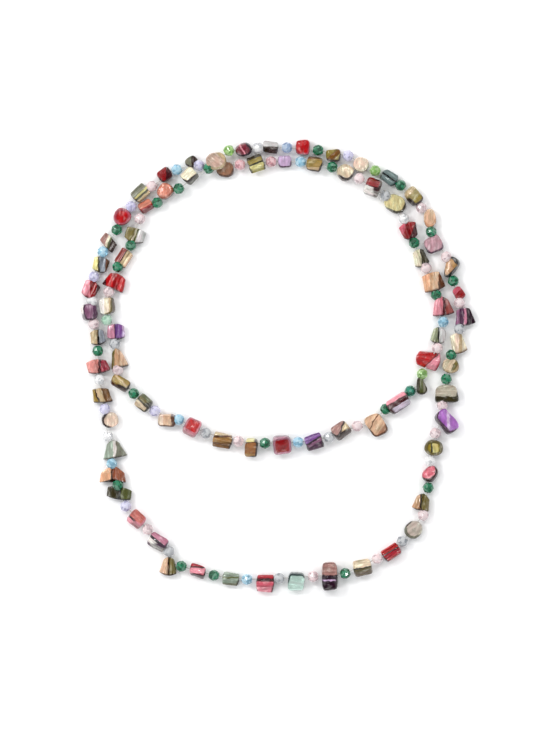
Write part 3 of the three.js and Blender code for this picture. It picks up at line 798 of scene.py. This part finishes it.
def crown(points, lips, faces, border, side, thick):
    """Closes a flat face with rings that rise and narrow towards its middle."""
    rise = CROWN * thick
    outline = [points[i] for i in border]
    for point in outline:
        point.z -= side * rise
    for share in CROWN_RINGS:
        height = side * (thick / 2 - rise * share ** 2)
        inner = list(range(len(points), len(points) + len(border)))
        points += [Vector((point.x * share, point.y * share, height)) for point in outline]
        lips += [0] * len(inner)
        faces += band(border, inner)
        border = inner
    middle = len(points)
    points.append(Vector((0, 0, side * thick / 2)))
    lips.append(0)
    faces += [(a, b, middle) for a, b in zip(border, border[1:] + border[:1])]


def swept(chip, point, seen, wide, long):
    """A point of the plain chip, along, left and up, after the chip's own ends and taper."""
    x, y, z = point if seen == "face" else (point.z, point.x, point.y)
    ends = FORMS[chip["form"]][2]
    lean = chip["skew"] * y + chip["vee"] * (abs(y) - wide / 4)
    along = x * (1 - ends * (2 * y / wide) ** 2) + lean
    return Vector((along, y * (1 - chip["taper"] * x / long), z))


def chip_shape(chip, heading, rng):
    """A chip's points about the origin and its faces, with each point's lip and height."""
    seen, rings, sizes = chip_rings(chip)
    count = len(rings[0][0])
    points = [Vector((point.x, point.y, z)) for ring, z, _ in rings for point in ring]
    lips = [lip for _, _, lip in rings for _ in range(count)]
    numbers = numbered(len(rings), count)
    faces = [face for a, b in zip(numbers, numbers[1:]) for face in band(a, b)]
    for border, side in ((numbers[0], -1), (numbers[-1], 1)):
        if seen == "face":
            crown(points, lips, faces, border, side, sizes.z)
        else:
            faces.append(border)
    heights = [0.5 + (p.z / sizes.z if seen == "face" else p.y / sizes.y) for p in points]
    length = facing(heading)
    turn = Matrix.Rotation(math.radians(chip["roll"]), 3, length)
    left, top = turn @ UP.cross(length), turn @ UP
    wide, long = (sizes.y, sizes.x) if seen == "face" else (sizes.x, sizes.z)
    shift = anywhere(rng, DENT_ROOM)
    placed = []
    for point in points:
        p = swept(chip, point, seen, wide, long)
        dent = noise.noise(p * DENT_GRAIN + shift) * DENT
        q = length * p.x + left * p.y + top * p.z
        placed.append(q + q.normalized() * (dent - DRAWN_IN))
    return placed, faces, lips, heights


def leaned(lips, points, way):
    """The lips, weaker on the side that looks away from the rim's way."""
    side = facing(way)
    reach = max(abs(point.dot(side)) for point in points)
    shares = [RIM_MIDDLE + RIM_LEAN * point.dot(side) / reach for point in points]
    return [lip * max(RIM_LEAST, min(1.0, share)) for lip, share in zip(lips, shares)]


def put_chip(strand, chip, place, shape, rng):
    """Adds one chip with the dyes of its bands, rim and edge, the rim and the edge darkened as
    painted shade.
    """
    points, faces, lips, heights = shape
    strand.add([point + place for point in points], faces)
    way = facing(math.radians(chip["way"]))
    across = UP.cross(way)
    run = [point.dot(way) for point in points]
    low, span = min(run), max(run) - min(run)
    words = chip["bands"].split()
    dyes, cuts = words[::2], [float(word) for word in words[1::2]]
    dyes += [dyes[-1]] * (MOST_DYES - len(dyes))
    cuts += [PAST_THE_END] * (MOST_DYES - 1 - len(cuts))
    rim, *turned = chip["rim"].split()
    # Unless a rim has its own way, it leans to the lower right as painted shade
    if turned != ["round"]:
        lips = leaned(lips, points, math.radians(float(turned[0]) if turned else SHADE_SIDE_RIM_WAY))
    shift = anywhere(rng, SHELL_ROOM)
    count = len(points)
    places = [(far - low) / span for far in run]
    grain = [Vector((p.dot(way), p.dot(across), p.z)) / MM + shift for p in points]
    strand.note("lie", "FLOAT_VECTOR", zip(places, lips, heights))
    strand.note("grain", "FLOAT_VECTOR", grain)
    strand.note("cuts", "FLOAT_VECTOR", [cuts] * count)
    for number, dye in enumerate(dyes, 1):
        strand.note(f"dye_{number}", "FLOAT_COLOR", [daylight(DYES[dye], DEPTH)] * count)
    # Painted shade: the rim and edge dyes are darkened
    strand.note("rim_dye_and_painted_shade", "FLOAT_COLOR", [daylight(DYES[rim], RIM_PAINTED_SHADE_DEPTH)] * count)
    strand.note("edge_dye_and_painted_shade", "FLOAT_COLOR", [daylight(DYES[chip["edge"]], EDGE_PAINTED_SHADE_DEPTH)] * count)


def put_glass(strand, place, axis, tint, rng):
    """Adds one faceted bead, its hole along the axis."""
    spin = rng.random()
    points = []
    for radius, far, turn in GLASS_RINGS:
        points += circle(place + axis * far, axis, radius, GLASS_SIDES, turn + spin)
    numbers = numbered(len(GLASS_RINGS), GLASS_SIDES)
    turns = [turn for _, _, turn in GLASS_RINGS]
    faces = []
    for r in range(len(turns) - 1):
        a, b = numbers[r], numbers[r + 1]
        level = turns[r] == turns[r + 1]
        faces += band(a, b) if level else facets(a, b, turns[r + 1] > turns[r])
    faces += [numbers[0], numbers[-1]]
    strand.add(points, faces)
    shift = anywhere(rng, GLASS_ROOM)
    strand.note("tint", "FLOAT_COLOR", [daylight(GLASS[tint])] * len(points))
    strand.note("grain", "FLOAT_VECTOR", [(point - place) / MM + shift for point in points])


def put_thread(strand, route):
    """Adds a run of thread along a route."""
    points, grain = [], []
    far = 0
    for i, point in enumerate(route):
        before, after = route[max(i - 1, 0)], route[min(i + 1, len(route) - 1)]
        far += (point - before).length
        points += circle(point, (after - before).normalized(), THREAD_ACROSS / 2, THREAD_SIDES)
        grain += [(far / MM, k / THREAD_SIDES, 0) for k in range(THREAD_SIDES)]
    numbers = numbered(len(route), THREAD_SIDES)
    faces = [face for a, b in zip(numbers, numbers[1:]) for face in band(a, b)]
    faces += [numbers[0], numbers[-1]]
    strand.add(points, faces)
    strand.note("grain", "FLOAT_VECTOR", grain)


def lay_chip(chip, start, end, rng):
    """A chip's shape and place between two glass beads, and where its hole lies."""
    ahead = (end - start).normalized()
    left = UP.cross(ahead)
    course = math.atan2(ahead.y, ahead.x)
    shape = chip_shape(chip, course + math.radians(chip["turn"]), rng)
    place = (start + end) / 2 + ahead * chip["slip"] * SQUARE + left * chip["out"] * SQUARE
    place.z = chip["lift"] * MM - min(point.z for point in shape[0])
    reach = HOLE_SHIFT * min(chip["long"], chip["wide"]) * SQUARE
    shift = max(-reach, min(reach, -chip["out"] * SQUARE))
    return shape, place, place + left * shift


def lay_bead(knot, before, after):
    """A glass bead's place and the way of its hole, from the holes before and after it."""
    axis = Vector((after.x - before.x, after.y - before.y, 0)).normalized()
    return Vector((knot.x, knot.y, max(GLASS_ACROSS / 2, (before.z + after.z) / 2))), axis


rng = random.Random(SEED)
knots = [Vector(((c - MIDDLE_COLUMN) * SQUARE, (MIDDLE_ROW - r) * SQUARE, 0)) for c, r, _ in ROUTE]
laid = [lay_chip(chip, knots[i - 1], knots[i], rng) for i, chip in enumerate(CHIPS)]
shapes, places, holes = zip(*laid)
beads = [lay_bead(knot, holes[i], holes[(i + 1) % len(holes)]) for i, knot in enumerate(knots)]

# The turns: the chips and then the glass beads of each, by number, and the slot of its shell
TURNS = {
    "short_turn": (range(SHORT_TURN_CHIPS), range(SHORT_TURN_CHIPS - 1), "shell_short"),
    "long_turn": (range(SHORT_TURN_CHIPS, len(CHIPS)), range(SHORT_TURN_CHIPS - 1, len(CHIPS)),
                  "shell_long"),
}
shell, glass, thread = shell_look(), glass_look(), thread_look()
for node, (chips, knotted, slot) in TURNS.items():
    strand = Strand(f"{node}_shell_chips")
    for i in chips:
        put_chip(strand, CHIPS[i], places[i], shapes[i], rng)
    shells = strand.finish(shell, SHELL_CREASE)
    strand = Strand(f"{node}_glass_beads")
    for i in knotted:
        put_glass(strand, *beads[i], ROUTE[i][2], rng)
    stones = strand.finish(glass, GLASS_CREASE)
    way = []
    for i in sorted(set(chips) | set(knotted)):
        way += [holes[i]] if i in chips else []
        way += [beads[i][0]] if i in knotted else []
    if node == "long_turn":
        way = [holes[SHORT_TURN_CHIPS - 1]] + way + [holes[0]]
    strand = Strand(f"{node}_thread")
    put_thread(strand, way)
    string = strand.finish(thread, THREAD_CREASE)
    for piece, name in ((shells, slot), (stones, "glass_beads"), (string, "thread")):
        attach(piece, "root")
        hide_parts(node)

# Surroundings: the floor, the lamps with their places, widths and powers, and the sky with
# the side that is lightest, its shades and those of the dim patch
FLOOR_REACH = 3
FLOOR_DROP = 0.05 * MM
FLOOR_RUN = 3.0
FLOOR_GREY = (0.93, 0.93, 0.93, 1)
FLOOR_PALE = (0.95, 0.95, 0.95, 1)
LAMPS = (
    ("key", (-0.8, 0.5, 0.95), 0.36, 5),
    ("small_1", (0.5, 0.75, 1.0), 0.1, 1.5),
    ("small_2", (-0.75, -0.35, 1.1), 0.1, 1.5),
    ("small_3", (0.8, -0.4, 1.0), 0.1, 1.5),
    ("small_4", (-0.15, 0.5, 1.2), 0.1, 1.5),
)
SKY_SIDE = (-0.3, 0.3, 0.91)
SKY_STOPS = ((0.0, (0.3, 0.31, 0.33, 1)), (0.7, WHITE))
PATCH_STOPS = ((0.83, WHITE), (0.93, (0.05, 0.05, 0.06, 1)))
SKY_POWER = 1.4


def floor():
    """A pale floor, wide and plain."""
    look = Look(bpy.data.materials.new("pale_floor"))
    soft = look.clouds(look.node("TexCoord", out="Object"), FLOOR_RUN)
    look.set(Base_Color=look.mix(soft, FLOOR_GREY, FLOOR_PALE), Roughness=0.7)
    shape = bmesh.new()
    corners = ((-1, -1), (1, -1), (1, 1), (-1, 1))
    shape.faces.new([shape.verts.new((x * FLOOR_REACH, y * FLOOR_REACH, -FLOOR_DROP))
                     for x, y in corners])
    piece_of("floor", shape, look.owner)


def lamp(name, place, width, power):
    """A round lamp that shines on the middle of the necklace."""
    light = bpy.data.lights.new(name, "AREA")
    light.shape = "DISK"
    light.size = width
    light.energy = power
    made = bpy.data.objects.new(name, light)
    made.location = place
    made.rotation_euler = (-Vector(place)).to_track_quat("-Z", "Y").to_euler()
    bpy.context.collection.objects.link(made)


def sky():
    """White light from above and the back left, with a dim patch straight overhead."""
    world = bpy.data.worlds.new("studio")
    bpy.context.scene.world = world
    look = Look(world, "Background")
    where = look.node("TexCoord", out="Generated")
    side = look.node("VectorMath", {"operation": "DOT_PRODUCT"}, {0: where, 1: SKY_SIDE}, "Value")
    dome = look.node("ValToRGB", {"stops": SKY_STOPS}, {0: side})
    patch = look.node("ValToRGB", {"stops": PATCH_STOPS}, {0: look.parts(where)[2]})
    look.set(Color=look.mix(1.0, dome, patch, "MULTIPLY"), Strength=SKY_POWER)


floor()
sky()
for row in LAMPS:
    lamp(*row)

# A camera straight above, so high that the grid fills its picture
SENSOR = 36
LENS = 200
FARTHEST_SEEN = 20
view = bpy.data.cameras.new("camera")
view.sensor_fit = "VERTICAL"
view.sensor_height = SENSOR
view.lens = LENS
view.clip_end = FARTHEST_SEEN
camera = bpy.data.objects.new("camera", view)
camera.location = ((GRID_WIDE / 2 - MIDDLE_COLUMN) * SQUARE, (MIDDLE_ROW - GRID_HIGH / 2) * SQUARE,
                   GRID_HIGH * SQUARE * LENS / SENSOR)
bpy.context.collection.objects.link(camera)
bpy.context.scene.camera = camera
bpy.context.scene.view_settings.view_transform = "Standard"
